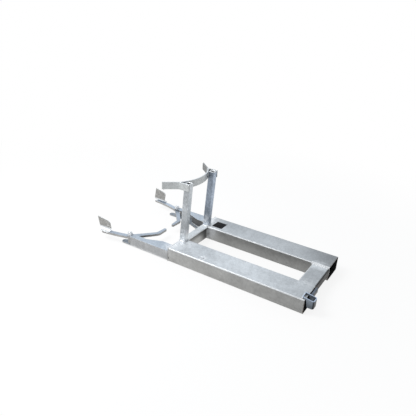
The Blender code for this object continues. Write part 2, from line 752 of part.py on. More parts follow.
def latch_strap_path():
    """Plan view of the latch's strap, bent to a U that opens forwards."""
    half = LATCH_STRAP / 2
    front = POCKET_LENGTH - LATCH_NOSE_REACH - LATCH_STRAP
    rear = POCKET_LENGTH + LATCH_TAIL_REACH - half
    inner, outer = LATCH_INNER_X + half, LATCH_OUTER_X - half
    turn_y = rear - LATCH_CORNER
    path = [(inner, front)]
    path += arc((inner + LATCH_CORNER, turn_y), LATCH_CORNER, 180.0, 90.0)
    path += arc((outer - LATCH_CORNER, turn_y), LATCH_CORNER, 90.0, 0.0)
    path.append((outer, front))
    return [(x - LATCH_MID_X, y - HINGE_Y) for x, y in path]


def build_latch():
    """The fork latch: a hinge barrel on the pocket, the pin, the U strap and the flap beside it."""
    pivot = new_pivot("latch_pivot", (LATCH_MID_X, HINGE_Y, HINGE_Z))
    sideways = (0.0, math.pi / 2, 0.0)
    inside = LATCH_WIDTH - 2 * LATCH_STRAP
    bore = LATCH_PIN_DIAMETER / 2 + FIT
    barrel = inside - 4 * FIT
    centre = (LATCH_MID_X, HINGE_Y, HINGE_Z)
    ring("latch_barrel", BARREL_DIAMETER / 2, bore, -barrel / 2, barrel, centre, GALVANISED_DULL, sideways)

    height = HINGE_Z + 2 * LATCH_NOSE_RADIUS
    strap = bent_bar("fork_latch_strap", latch_strap_path(), -HINGE_Z, height, LATCH_STRAP, GALVANISED, pivot)
    strap = as_mesh(strap)
    outlines = [latch_side_outline(), circle((HINGE_Y, HINGE_Z), bore, 16)]
    form = as_mesh(side_plate("latch_form", outlines, 0.0, 2 * LATCH_WIDTH, GALVANISED, pivot))
    form.location = (0.0, -HINGE_Y, -HINGE_Z)
    boolean(strap, form, "INTERSECT")

    head = LATCH_PIN_HEAD / 2
    shank = LATCH_PIN_DIAMETER / 2
    reach = LATCH_WIDTH / 2 + FIT
    end = reach + LATCH_PIN_HEAD_HEIGHT
    profile = [
        (0.0, end),
        (head, end),
        (head, reach),
        (shank, reach),
        (shank, -reach),
        (head, -reach),
        (head, -end),
        (0.0, -end),
    ]
    turned("latch_pin", profile, False, (0.0, 0.0, 0.0), ZINC_PLATED, sideways, pivot)

    flap_front = POCKET_LENGTH + LATCH_FRONT_GAP
    flap_top = POCKET_HEIGHT - FLAP_TOP_DROP
    low = (POCKET_INNER_X + FLAP_SIDE_GAP, flap_front, flap_top - FLAP_HEIGHT)
    high = (LATCH_INNER_X - FIT, flap_front + FLAP_THICKNESS, flap_top)
    offset_to_pivot = Vector((LATCH_MID_X, HINGE_Y, HINGE_Z))
    box("fork_latch_flap", Vector(low) - offset_to_pivot, Vector(high) - offset_to_pivot, GALVANISED_DULL, pivot)


build_pockets()
drill_vent()
cut_drain_notches()
build_front_cross_member()
build_rear_cross_member()
build_posts()
build_cradle()
build_arms()
build_pivots()
build_claws()
build_latch()
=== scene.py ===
"""Looks of the drum lifter: hot-dip galvanised steel, its welds and its fasteners, on a pale floor.

Metres, +Z up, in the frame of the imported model. The model's solids keep their shapes: they get
materials, softened edges and smooth round stretches. What they leave out is modelled here and rides
on the body that carries it: weld beads, threads, chamfered nuts, zinc drips and a blank label.
"""
import math

import bmesh
import bpy
from mathutils import Matrix, Vector, noise


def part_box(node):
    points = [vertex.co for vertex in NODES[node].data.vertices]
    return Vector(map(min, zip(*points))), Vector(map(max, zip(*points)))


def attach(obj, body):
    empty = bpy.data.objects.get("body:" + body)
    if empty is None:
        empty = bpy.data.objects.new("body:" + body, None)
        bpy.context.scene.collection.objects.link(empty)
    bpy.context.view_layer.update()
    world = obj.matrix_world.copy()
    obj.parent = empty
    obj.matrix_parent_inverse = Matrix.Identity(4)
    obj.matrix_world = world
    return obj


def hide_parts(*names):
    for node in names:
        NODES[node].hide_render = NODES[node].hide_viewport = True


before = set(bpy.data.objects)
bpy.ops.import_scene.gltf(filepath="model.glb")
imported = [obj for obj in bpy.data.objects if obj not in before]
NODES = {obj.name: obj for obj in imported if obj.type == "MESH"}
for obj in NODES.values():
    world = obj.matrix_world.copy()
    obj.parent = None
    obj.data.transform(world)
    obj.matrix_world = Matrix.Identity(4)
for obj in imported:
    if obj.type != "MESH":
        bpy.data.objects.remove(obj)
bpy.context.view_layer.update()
HANDS = ((1, "left"), (-1, "right"))

# Places on the model that the added pieces and the paint are fitted to
OUTER_X = 0.305
INNER_X = 0.125
POCKET_MIDDLE_X = 0.215
POCKET_HALF_WIDTH = 0.090
POCKET_HEIGHT = 0.100
POCKET_END = 0.970
POCKET_WALL = 0.005
CHANNEL_FRONT = 0.8530
CHANNEL_LIP_BOTTOM = 0.0388
CHANNEL_LIP_WELD = (0.041, 0.083)
CHANNEL_TOP_WELD = 0.0895
BEAM_REAR = 0.0372
CAP_WELD = 0.0992
UNDER_CAP = 0.0912
ARM_TOP_WELD = 0.0768
ARM_FLOOR = 0.0150
ARM_INNER_X = 0.2215
ARM_FRONT = -0.322
END_PLATE_Y = 0.0062
POST_INNER_X = 0.1255
POST_OUTER_X = 0.1705
POST_SIZE = 0.045
POST_WALL = 0.004
POST_TOP = 0.526
POST_FOOT_Y = -0.001
POST_LEAN = math.radians(3.1)
BAND_BOTTOM = 0.479
PIVOT = (0.283, -0.343)
SPOON_FOOT = (0.315, -0.150)
PIN_RADIUS = 0.010
NUT_ACROSS_FLATS = 0.030
VENT = (0.270, 0.261)
VENT_RADIUS = 0.004
BARREL_X = (0.2465, 0.2865)
BARREL_EDGES_Y = (0.9466, 0.9554)
LEVER_TOP = 0.0675
LABEL_LOW = (-0.242, 0.062)
LABEL_HIGH = (-0.155, 0.143)
LABEL_CORNER = 0.003
FLARE = math.radians(2.5)
CHAMFER = 0.0015
THREAD_PITCH = 0.0025
THREAD_DEPTH = 0.0011
THREAD_LENGTH = 0.0075

# Weld beads: how far their middle lines stand off a face, their radii, and how they are cut up
PROUD = 0.0004
FOOT_FILLET = 0.0052
ROOT_FILLET = 0.0048
RIM_RADIUS = 0.0048
RIM_INSET = 0.0050
TOP_FILLET = 0.0042
SPOON_FILLET = 0.0040
FILLET = 0.0034
FLANGE_FILLET = 0.0032
SMALL_FILLET = 0.0030
BUTT = 0.0026
UNDER_SEAM = 0.0024
SEAM = 0.0022
BARREL_SEAM = 0.0019
CORNER_SEAM = 0.0018
FINE_SEAM = 0.0015
HAIR_SEAM = 0.0012
VENT_RIM = 0.0007
RIPPLE = 0.0030
BEAD_STEP = 0.0010
BEAD_SIDES = 8

# The zinc's texture: how many of each there are in a metre, or how each is turned and stretched
CLOUDS = 8.0
WAVES = 42.0
BLOTCHES = 52.0
CRYSTALS = 95.0
GRAIN = 650.0
RUN_TURN = (0.75, 0.35, 0.25)
RUN_STRETCH = (210.0, 24.0, 210.0)

# Stretches over which the zinc, its painted light and its painted shade change, as places in metres
FRONT_STRIP = (0.003, 0.030)
FAR_SEAM = (0.110, 0.117)
FAR_SEAM_OUTSIDE = (0.139, 0.133)
FAR_SEAM_START = (0.84, 0.86)
FAR_SEAM_FOOT = (0.082, 0.088)
ACROSS_MIDDLE = (-0.05, 0.05)
INNER_FACE = (0.1275, 0.1265)
INNER_LIGHT = (0.045, 0.170)
INNER_LIGHT_RISE = (0.012, 0.070)
VENT_WHITE = 0.036
SPOON_BEND = (0.085, 0.097)
REAR_CUT = (0.966, 0.969)
REAR_EDGE = (0.963, 0.969)
WALL_EDGE = (-0.0004, 0.0004)
ARM_INSIDE = (0.2965, 0.2980)
ARM_FOOT = (0.0138, 0.0145)
LATCH_FLAP_SIDE = (0.2372, 0.2380)

# Ranges of a surface's direction, from -1 to 1, and of the blotches
ANY_TOP = (0.15, 0.85)
TO_THE_REAR = (0.3, 0.8)
FLAT_TOP = (0.3, 0.6)
EDGE_START = (0.23, 0.50)
EDGE_END = (0.86, 0.97)
RAGGED = (0.30, 0.62)
PATCHY = (0.2, 0.55)

# Colours that several materials share; the top colour is painted lighter and bluer and the side colour
# darker, as painted light
LIT_TOP = (0.600, 0.632, 0.660)
SHADED_SIDE = (0.385, 0.385, 0.375)
# White zinc, also the colour of the painted highlights
WHITE_ZINC_AND_HIGHLIGHT = (0.84, 0.86, 0.88, 1.0)
CUT_STAIN = (0.090, 0.058, 0.045, 1.0)

# White bloom round welds: its centre, its reach and its strength
BLOOMS = (
    ((0.165, 0.022, 0.100), 0.130, 0.75),
    ((0.250, -0.010, 0.085), 0.080, 0.70),
    ((0.125, 0.900, 0.092), 0.075, 0.35),
)

# Splashes of zinc on the left pocket's top: x, y and radius, and how high they stand
SPLASHES = (
    (0.2620, 0.2440, 0.0062),
    (0.2785, 0.2720, 0.0050),
    (0.2560, 0.2700, 0.0040),
    (0.2830, 0.2480, 0.0044),
    (0.2465, 0.2555, 0.0034),
    (0.2380, 0.0240, 0.0046),
    (0.2010, 0.0330, 0.0038),
    (0.1960, 0.0120, 0.0052),
    (0.2700, 0.0210, 0.0040),
)
SPLASH_HEIGHT = 0.0011

# Softened edges of the solids
EDGE_WIDTH = 0.0010
FINE_EDGE_WIDTH = 0.0004
EDGE_ANGLE = math.radians(35.0)
SMOOTH_ANGLE = math.radians(38.0)


def post_front(z):
    """Where a leaning post's front face stands at a height."""
    return POST_FOOT_Y + (z - POCKET_HEIGHT) * math.tan(POST_LEAN)


# Materials

class Tree:
    """A material's node tree, built with short calls."""

    def __init__(self, name):
        self.material = bpy.data.materials.new(name)
        self.material.use_nodes = True
        self.nodes = self.material.node_tree.nodes
        self.links = self.material.node_tree.links
        self.shader = self.nodes["Principled BSDF"]

    def add(self, kind, inputs=(), **settings):
        """Add a node. Its inputs are (socket, value or output) pairs."""
        node = self.nodes.new("ShaderNode" + kind)
        for key, value in settings.items():
            setattr(node, key, value)
        for key, value in inputs:
            self.put(node, key, value)
        return node

    def put(self, node, key, value):
        """Set one input to a value, or link it to an output."""
        socket = node.inputs[key]
        if isinstance(value, bpy.types.NodeSocket):
            self.links.new(value, socket)
        else:
            socket.default_value = value

    def math(self, operation, first, second=0.0, third=0.0):
        """One step of arithmetic."""
        pairs = ((0, first), (1, second), (2, third))
        return self.add("Math", pairs, operation=operation).outputs[0]

    def times(self, *factors):
        """The product of several numbers."""
        result = factors[0]
        for factor in factors[1:]:
            result = self.math("MULTIPLY", result, factor)
        return result

    def ramp(self, value, low, high, to_low=0.0, to_high=1.0):
        """A value taken from one range to another, with soft ends."""
        before = (("Value", value), ("From Min", low), ("From Max", high))
        after = (("To Min", to_low), ("To Max", to_high))
        return self.add("MapRange", before + after, interpolation_type="SMOOTHSTEP").outputs[0]

    def mix(self, factor, first, second):
        """Two colours mixed."""
        node = self.add("Mix", (), data_type="RGBA")
        for index, value in ((0, factor), (6, first), (7, second)):
            self.put(node, index, value)
        return node.outputs[2]

    def scaled(self, colour, shade):
        """A colour made lighter or darker."""
        return self.add("VectorMath", ((0, colour), (3, shade)), operation="SCALE").outputs[0]

    def noise(self, vector, scale, detail=4.0, roughness=0.5, distortion=0.0):
        """A noise from about 0 to 1."""
        pairs = (("Vector", vector), ("Scale", scale), ("Detail", detail), ("Roughness", roughness))
        node = self.add("TexNoise", pairs + (("Distortion", distortion),))
        return node.outputs[0]

    def bump(self, height, distance, strength):
        """Link a height to the shader's normal."""
        pairs = (("Height", height), ("Distance", distance), ("Strength", strength))
        self.links.new(self.add("Bump", pairs).outputs[0], self.shader.inputs["Normal"])

    def split(self, vector):
        """The three numbers of a vector."""
        return self.add("SeparateXYZ", (("Vector", vector),)).outputs

    def grown(self, vector, turn, stretch):
        """Coordinates turned, then stretched along the turned axes."""
        turned = self.add("Mapping", (("Vector", vector), ("Rotation", turn))).outputs[0]
        return self.add("VectorMath", ((0, turned), (1, stretch)), operation="MULTIPLY").outputs[0]


class Spot:
    """Where a point lies on the resting model, and which way its surface faces there."""

    def __init__(self, tree):
        self.tree = tree
        coordinates = tree.add("TexCoord").outputs
        self.place = coordinates["Object"]
        self.x, self.y, self.z = tree.split(self.place)[:3]
        self.far = tree.math("ABSOLUTE", self.x)
        facing = tree.split(coordinates["Normal"])
        self.side = tree.math("ABSOLUTE", facing[0])
        self.rear = facing[1]
        self.up = facing[2]
        self.top = tree.ramp(self.up, *ANY_TOP)

    def near(self, centre, reach, mirrored=True):
        """1 at a place, on both sides of the model if mirrored, falling to 0 at a distance from it."""
        tree = self.tree
        across = self.far if mirrored else self.x
        both = tree.add("CombineXYZ", ((0, across), (1, self.y), (2, self.z))).outputs[0]
        distance = tree.add("VectorMath", ((0, both), (1, centre)), operation="DISTANCE").outputs["Value"]
        return tree.ramp(distance, 0.3 * reach, reach, 1.0, 0.0)

    def blend(self, factor, first, second):
        """One number mixed with another."""
        gap = self.tree.math("SUBTRACT", second, first)
        return self.tree.math("MULTIPLY_ADD", gap, factor, first)


def zinc_shade(tree, spot, mottle, streaks):
    """Lighter and darker zinc: clouds, blotches, slanted runs, crystals and fine grain."""
    clouds = tree.noise(spot.place, CLOUDS, 4.0, 0.6, 0.8)
    blotches = tree.noise(spot.place, BLOTCHES, 3.0, 0.6, 0.4)
    runs = tree.noise(tree.grown(spot.place, RUN_TURN, RUN_STRETCH), 1.0, 3.0, 0.55)
    crystals = tree.add("TexVoronoi", (("Vector", spot.place), ("Scale", CRYSTALS)), feature="F1")
    crystal = tree.split(crystals.outputs["Color"])[0]
    grain = tree.noise(spot.place, GRAIN, 3.0, 0.6)
    shade = tree.ramp(clouds, 0.3, 0.7, 0.90, 1.10)
    for value, amount in ((blotches, mottle), (runs, streaks), (crystal, 0.07), (grain, 0.10)):
        centred = tree.math("SUBTRACT", value, 0.5)
        shade = tree.math("MULTIPLY_ADD", centred, amount, shade)
    return shade, clouds, blotches, crystal, grain


def long_edges(tree, spot):
    """1 on the rounded edges between a top and a side, whitened partly as worn zinc and partly as a painted
    highlight.
    """
    rise = tree.ramp(spot.up, *EDGE_START)
    fall = tree.ramp(spot.up, *EDGE_END, 1.0, 0.0)
    return tree.times(rise, fall)


def end_whites_and_highlights(tree, spot, blotches):
    """Where the pockets and the channel are white: a painted highlight along the front top edge, painted
    light on the inner faces near the front, and white zinc round the vent and at the channel's far weld.
    """
    # Painted highlight along the pockets' front top edge
    front = tree.times(tree.ramp(spot.y, *FRONT_STRIP, 0.85, 0.0), spot.top)
    seam = tree.times(tree.ramp(spot.far, *FAR_SEAM), tree.ramp(spot.far, *FAR_SEAM_OUTSIDE))
    seam = tree.times(seam, tree.ramp(spot.y, *FAR_SEAM_START), tree.ramp(spot.z, *FAR_SEAM_FOOT))
    seam = tree.times(seam, tree.ramp(spot.x, *ACROSS_MIDDLE, 1.0, 0.15))
    # Painted light on the inner faces near the front, stronger towards their top
    inner = tree.times(tree.ramp(spot.y, *INNER_LIGHT, 0.62, 0.0), tree.ramp(spot.far, *INNER_FACE))
    inner = tree.times(inner, tree.ramp(spot.z, *INNER_LIGHT_RISE, 0.5, 1.0), tree.ramp(spot.side, 0.5, 0.8))
    vent = spot.near((*VENT, POCKET_HEIGHT), VENT_WHITE, False)
    vent = tree.times(vent, tree.ramp(blotches, *RAGGED), 0.75)
    ragged = tree.ramp(blotches, *PATCHY, 0.6, 1.0)
    white = tree.times(tree.math("MAXIMUM", tree.math("MAXIMUM", front, seam), inner), ragged)
    return tree.math("MAXIMUM", white, vent)


def spoon_highlight(tree, spot, blotches):
    """A painted highlight on the spoons: white in the bend above their foot."""
    return tree.times(tree.ramp(spot.z, *SPOON_BEND, 0.95, 0.0), tree.ramp(blotches, 0.2, 0.5, 0.75, 1.0))


def rear_stain(tree, spot, blotches):
    """1 on the rear cuts and the ragged edge beside them, where the steel shows through."""
    cut = tree.times(tree.ramp(spot.rear, *TO_THE_REAR), tree.ramp(spot.y, *REAR_CUT, 0.0, 0.9))
    edge = tree.times(tree.ramp(spot.y, *REAR_EDGE), tree.ramp(blotches, 0.42, 0.60, 0.0, 0.8))
    return tree.math("MAXIMUM", cut, edge)


def zinc_surface(tree, spot, dullness, clouds, crystal, grain):
    """Roughness that varies with the crystals and clouds, and a slight unevenness."""
    tree.put(tree.shader, "Metallic", 0.60)
    rough = tree.math("MULTIPLY_ADD", crystal, 0.10, dullness - 0.12)
    rough = tree.math("MULTIPLY_ADD", clouds, 0.16, rough)
    tree.put(tree.shader, "Roughness", rough)
    waves = tree.noise(spot.place, WAVES, 2.0, 0.5)
    height = tree.math("MULTIPLY_ADD", grain, 0.12, tree.math("MULTIPLY", waves, 0.8))
    tree.bump(height, 0.0006, 0.4)


def galvanised(name, top, side, dullness, zone=None, blooms=(), mottle=0.40, streaks=0.60, edge=0.85,
               whites_and_highlights=None, stained=False, painted_shade=None):
    """Hot-dip galvanised steel.

    Tops take the lighter top colour and sides the darker side colour, as painted light. A zone paints
    light and shade over stretches of it, blooms whiten it near welds, its rounded long edges whiten as
    worn zinc and as a painted highlight, whites add white zinc and painted highlights, a stain darkens
    the rear cuts, and painted shade darkens what lies inside a tube and faces turned from the light.
    """
    tree = Tree(name)
    spot = Spot(tree)
    # Painted light: tops take the lighter top colour, sides the darker side colour
    colour = tree.mix(spot.top, (*side, 1.0), (*top, 1.0))
    shade, clouds, blotches, crystal, grain = zinc_shade(tree, spot, mottle, streaks)
    if zone:
        shade = tree.times(shade, zone(tree, spot))
    colour = tree.scaled(colour, shade)
    for centre, reach, strength in blooms:
        ragged = tree.ramp(blotches, *RAGGED)
        colour = tree.mix(tree.times(spot.near(centre, reach), ragged, strength), colour, WHITE_ZINC_AND_HIGHLIGHT)
    # The rounded long edges whitened: partly worn zinc, partly a painted highlight
    edge_wear_and_highlight = tree.times(long_edges(tree, spot), tree.ramp(blotches, *PATCHY, 0.7, 1.0), edge)
    colour = tree.mix(edge_wear_and_highlight, colour, WHITE_ZINC_AND_HIGHLIGHT)
    if whites_and_highlights:
        colour = tree.mix(whites_and_highlights(tree, spot, blotches), colour, WHITE_ZINC_AND_HIGHLIGHT)
    if stained:
        colour = tree.mix(rear_stain(tree, spot, blotches), colour, CUT_STAIN)
    if painted_shade:
        colour = tree.scaled(colour, painted_shade(tree, spot))
    tree.put(tree.shader, "Base Color", colour)
    zinc_surface(tree, spot, dullness, clouds, crystal, grain)
    return tree.material


def pocket_painted_light(tree, spot):
    """Pockets: painted shade towards the open end and on the right pocket, and on the sides that face
    inwards between the pockets, darker towards their top.
    """
    far_side = tree.ramp(spot.x, -0.31, 0.14)
    rear_top = tree.ramp(spot.y, 0.58, POCKET_END, 1.0, spot.blend(far_side, 0.60, 0.80))
    top = tree.times(rear_top, spot.blend(far_side, 0.76, 1.0))
    side = tree.ramp(spot.y, 0.20, 0.90, 1.04, 0.80)
    shade = spot.blend(spot.top, side, top)
    facing_side = tree.ramp(spot.side, 0.6, 0.9)
    between = tree.times(facing_side, tree.ramp(spot.far, *INNER_FACE))
    low = tree.ramp(spot.z, 0.025, 0.088, 0.78, 0.58)
    return spot.blend(between, shade, tree.times(low, tree.ramp(spot.y, 0.05, 0.85, 1.04, 0.90)))


def pocket_painted_shade(tree, spot):
    """Painted shade inside the pockets."""
    across = tree.math("ABSOLUTE", tree.math("SUBTRACT", spot.far, POCKET_MIDDLE_X))
    across = tree.math("SUBTRACT", across, POCKET_HALF_WIDTH - POCKET_WALL / 2)
    over = tree.math("ABSOLUTE", tree.math("SUBTRACT", spot.z, POCKET_HEIGHT / 2))
    over = tree.math("SUBTRACT", over, POCKET_HEIGHT / 2 - POCKET_WALL / 2)
    inside = tree.ramp(tree.math("MAXIMUM", across, over), *WALL_EDGE, 1.0, 0.0)
    return spot.blend(inside, 1.0, tree.ramp(spot.y, 0.90, POCKET_END, 0.04, 0.09))


def channel_painted_light(tree, spot):
    """Rear channel: painted shade on its sides and on its top, which is lighter at the far end."""
    top = tree.ramp(spot.x, -0.112, -0.06, 1.0, 0.74)
    return spot.blend(spot.top, 0.62, top)


def channel_painted_shade(tree, spot):
    """Painted shade on the channel's rear lip, which faces away from the light."""
    lip = tree.times(tree.ramp(spot.rear, 0.15, 0.60), tree.ramp(spot.y, 0.93, 0.96))
    return spot.blend(lip, 1.0, 0.08)


def beam_painted_light(tree, spot):
    """Front beam: painted light at its foot, and painted shade under the cap, most of all at its far end."""
    low = tree.ramp(spot.z, 0.040, 0.085, 1.55, 0.50)
    return tree.times(low, tree.ramp(spot.x, -0.115, -0.02, 0.22, 1.0))


def arm_painted_light(tree, spot):
    """Arms: painted shade on the walls inside them and on the bottom plate's nose under the claw, and a
    painted highlight along the bottom plate's edge.
    """
    inner = tree.times(tree.ramp(spot.far, *ARM_INSIDE, 1.0, 0.0), tree.ramp(spot.up, 0.4, 0.8, 1.0, 0.0))
    shade = spot.blend(inner, 1.02, 0.30)
    nose = tree.times(tree.ramp(spot.z, 0.030, 0.040, 1.0, 0.0), tree.ramp(spot.y, -0.33, -0.32, 1.0, 0.0))
    foot = tree.times(tree.ramp(spot.z, *ARM_FOOT, 1.0, 0.0), tree.ramp(spot.up, *FLAT_TOP, 1.0, 0.0))
    return tree.times(spot.blend(nose, shade, 0.72), spot.blend(foot, 1.0, 1.35))


def post_bands_and_light(tree, spot):
    """Posts: lighter and darker bands up their height, painted shade on the far post, and painted light on
    their rear faces.
    """
    # Painted shade: the far post darker
    hand = tree.ramp(spot.x, -0.02, 0.02, 0.72, 1.0)
    low = tree.ramp(spot.z, 0.130, 0.165, 1.55, 0.86)
    high = tree.ramp(spot.z, 0.235, 0.285, 0.0, 1.0)
    rise = tree.ramp(spot.z, 0.33, 0.43, 1.20, 1.05)
    shade = tree.times(hand, spot.blend(high, low, rise))
    # Painted light: the rear faces lighter
    turned = tree.ramp(spot.rear, *TO_THE_REAR, 0.98, 1.60)
    return tree.times(shade, turned)


def post_painted_shade(tree, spot):
    """Painted shade inside the posts."""
    front = tree.math("MULTIPLY_ADD", spot.z, -math.tan(POST_LEAN), -post_front(0.0))
    depth = tree.math("ADD", spot.y, front)
    depth = tree.math("ABSOLUTE", tree.math("SUBTRACT", depth, POST_SIZE / 2))
    across = tree.math("ABSOLUTE", tree.math("SUBTRACT", spot.far, (POST_INNER_X + POST_OUTER_X) / 2))
    wall = tree.math("SUBTRACT", tree.math("MAXIMUM", depth, across), (POST_SIZE - POST_WALL) / 2)
    painted_shade = tree.ramp(wall, *WALL_EDGE, 1.0, 0.0)
    return spot.blend(painted_shade, 1.0, 0.06)


def cradle_painted_shade(tree, spot):
    """Cradle: painted shade on the far ear."""
    return tree.ramp(spot.x, -0.19, -0.16, 0.36, 1.0)


def claw_zone(tree, spot):
    """Claws: a little lighter ahead of the pivot."""
    return tree.ramp(spot.y, -0.40, -0.30, 1.12, 0.94)


def latch_painted_light(tree, spot):
    """Latch: painted light, lighter towards its top."""
    return tree.ramp(spot.z, 0.055, 0.105, 0.75, 1.6)


def latch_painted_shade(tree, spot):
    """Painted shade on the latch's rear faces and on its flap."""
    shade = tree.ramp(spot.rear, 0.2, 0.7, 1.0, 0.12)
    return tree.times(shade, tree.ramp(spot.x, *LATCH_FLAP_SIDE, 0.20, 1.0))


def bright_zinc(name):
    """Thin electroplated zinc on turned fasteners."""
    tree = Tree(name)
    place = Spot(tree).place
    smudge = tree.noise(place, 60.0, 4.0, 0.6)
    turned = tree.noise(tree.grown(place, (0.0, 0.0, 0.0), (1.0, 1.0, 30.0)), 90.0, 3.0, 0.6)
    colour = tree.mix(tree.ramp(smudge, 0.35, 0.7), (0.74, 0.76, 0.78, 1.0), (0.88, 0.89, 0.90, 1.0))
    tree.put(tree.shader, "Base Color", colour)
    tree.put(tree.shader, "Metallic", 0.70)
    tree.put(tree.shader, "Roughness", tree.math("MULTIPLY_ADD", smudge, 0.18, 0.22))
    tree.bump(turned, 0.0001, 0.4)
    return tree.material


def label_film(name):
    """A plain dark film with dust on it and a fine grain."""
    tree = Tree(name)
    place = Spot(tree).place
    dust = tree.noise(place, 160.0, 5.0, 0.65)
    colour = tree.mix(tree.ramp(dust, 0.45, 0.75), (0.012, 0.012, 0.014, 1.0), (0.035, 0.035, 0.037, 1.0))
    tree.put(tree.shader, "Base Color", colour)
    tree.put(tree.shader, "Roughness", tree.math("MULTIPLY_ADD", dust, 0.2, 0.55))
    tree.put(tree.shader, "Specular IOR Level", 0.12)
    tree.bump(tree.noise(place, 500.0, 2.0), 0.00005, 0.5)
    return tree.material


# Each material's first colour goes on its tops and its second on its sides: painted light
POCKET = galvanised(
    "galvanised_pocket", LIT_TOP, SHADED_SIDE, 0.46, pocket_painted_light, BLOOMS,
    whites_and_highlights=end_whites_and_highlights, stained=True, painted_shade=pocket_painted_shade,
)
CHANNEL = galvanised(
    "galvanised_channel", LIT_TOP, SHADED_SIDE, 0.46, channel_painted_light, BLOOMS,
    whites_and_highlights=end_whites_and_highlights, stained=True, painted_shade=channel_painted_shade,
)
# The cap's thin sides painted lighter than its top: painted light
CAP = galvanised("galvanised_cap", (0.60, 0.63, 0.65), (0.88, 0.90, 0.91), 0.44, None, BLOOMS)
CROSS = galvanised("galvanised_cross_member", LIT_TOP, SHADED_SIDE, 0.46, beam_painted_light)
# The arms' tops painted bluer: a painted reflection
ARM = galvanised(
    "galvanised_arm", (0.43, 0.485, 0.55), (0.375, 0.380, 0.385), 0.46, arm_painted_light, BLOOMS, edge=0.35
)
POST = galvanised(
    "galvanised_post", LIT_TOP, (0.400, 0.420, 0.435), 0.42, post_bands_and_light, BLOOMS,
    mottle=0.9, streaks=0.5, painted_shade=post_painted_shade,
)
# The far post's copy of the post zinc, darker and bluer at its sides: painted shade
SHADED_FAR_POST = galvanised(
    "galvanised_far_post_painted_shade", LIT_TOP, (0.345, 0.400, 0.475), 0.42, post_bands_and_light, BLOOMS,
    mottle=0.9, streaks=0.5, painted_shade=post_painted_shade,
)
CRADLE = galvanised("galvanised_cradle", (0.62, 0.65, 0.68), (0.545, 0.565, 0.565), 0.46, cradle_painted_shade)
# The claws' tops painted blue: a painted reflection
CLAW = galvanised("galvanised_claw", (0.39, 0.445, 0.515), (0.36, 0.355, 0.345), 0.40, claw_zone)
SPOON = galvanised(
    "galvanised_spoon", (0.66, 0.67, 0.67), (0.350, 0.345, 0.330), 0.40,
    mottle=0.7, streaks=1.0, whites_and_highlights=spoon_highlight,
)
# The latch's tops painted blue and its sides near black: painted reflection and painted shade
LATCH = galvanised(
    "galvanised_latch", (0.36, 0.43, 0.54), (0.125, 0.145, 0.170), 0.36, latch_painted_light, painted_shade=latch_painted_shade
)
WELD = galvanised(
    "galvanised_weld", (0.66, 0.68, 0.70), (0.58, 0.59, 0.59), 0.42, mottle=0.5, streaks=0.3, edge=0.4
)
DULL_WELD = galvanised(
    "galvanised_weld_dull", (0.50, 0.51, 0.52), (0.36, 0.36, 0.35), 0.50, mottle=0.5, streaks=0.3, edge=0.2
)
SPLASH = galvanised(
    "zinc_splash", (0.86, 0.88, 0.90), (0.70, 0.72, 0.74), 0.34, mottle=0.3, streaks=0.2, edge=0.6
)
ZINC = bright_zinc("zinc_plated_fastener")
LABEL = label_film("blank_label_film")

# Which material a solid gets, by the start of its name
NODE_MATERIALS = (
    (("fork_pocket", "pocket_end_plate"), POCKET),
    (("rear_cross_channel",), CHANNEL),
    (("front_cross_cap",), CAP),
    (("front_cross_beam",), CROSS),
    (("arm_",), ARM),
    (("post_left",), POST),
    (("post_right",), SHADED_FAR_POST),
    (("cradle_",), CRADLE),
    (("claw_spoon",), SPOON),
    (("claw_lever", "claw_spacer"), CLAW),
    (("fork_latch", "latch_barrel"), LATCH),
    (("pivot_", "latch_pin"), ZINC),
)


# The model's own solids

def smooth_group():
    """Geometry nodes that shade a mesh smooth, but for its edges above an angle."""
    group = bpy.data.node_groups.new("smooth_by_angle", "GeometryNodeTree")
    group.interface.new_socket("Geometry", in_out="INPUT", socket_type="NodeSocketGeometry")
    group.interface.new_socket("Geometry", in_out="OUTPUT", socket_type="NodeSocketGeometry")
    nodes, links = group.nodes, group.links
    start = nodes.new("NodeGroupInput")
    end = nodes.new("NodeGroupOutput")
    faces = nodes.new("GeometryNodeSetShadeSmooth")
    faces.domain = "FACE"
    edges = nodes.new("GeometryNodeSetShadeSmooth")
    edges.domain = "EDGE"
    edges.inputs["Shade Smooth"].default_value = False
    angle = nodes.new("GeometryNodeInputMeshEdgeAngle")
    sharper = nodes.new("FunctionNodeCompare")
    sharper.operation = "GREATER_THAN"
    sharper.inputs[1].default_value = SMOOTH_ANGLE
    links.new(angle.outputs["Unsigned Angle"], sharper.inputs[0])
    links.new(start.outputs[0], faces.inputs["Geometry"])
    links.new(faces.outputs[0], edges.inputs["Geometry"])
    links.new(sharper.outputs[0], edges.inputs["Selection"])
    links.new(edges.outputs[0], end.inputs[0])
    return group


SMOOTH = smooth_group()


def soften(obj, width):
    """Join a solid's facets, round its edges a little, and shade its round stretches smooth."""
    weld = obj.modifiers.new("weld", "WELD")
    weld.merge_threshold = 0.00001
    flat = obj.modifiers.new("flat_faces", "DECIMATE")
    flat.decimate_type = "DISSOLVE"
    flat.angle_limit = math.radians(0.5)
    bevel = obj.modifiers.new("soft_edges", "BEVEL")
    bevel.width = width
    bevel.segments = 3
    bevel.limit_method = "ANGLE"
    bevel.angle_limit = EDGE_ANGLE
    smooth = obj.modifiers.new("smooth", "NODES")
    smooth.node_group = SMOOTH
    normals = obj.modifiers.new("normals", "WEIGHTED_NORMAL")
    normals.keep_sharp = True
    normals.weight = 100


def paint(obj, material):
    """Give an object one material."""
    if obj.material_slots:
        for slot in obj.material_slots:
            slot.material = material
    else:
        obj.data.materials.append(material)


def dress_nodes():
    """Material and soft edges for every solid of the model."""
    for name, obj in NODES.items():
        material = next(choice for starts, choice in NODE_MATERIALS if name.startswith(starts))
        paint(obj, material)
        soften(obj, FINE_EDGE_WIDTH if material is ZINC else EDGE_WIDTH)


# Shapes for the added pieces

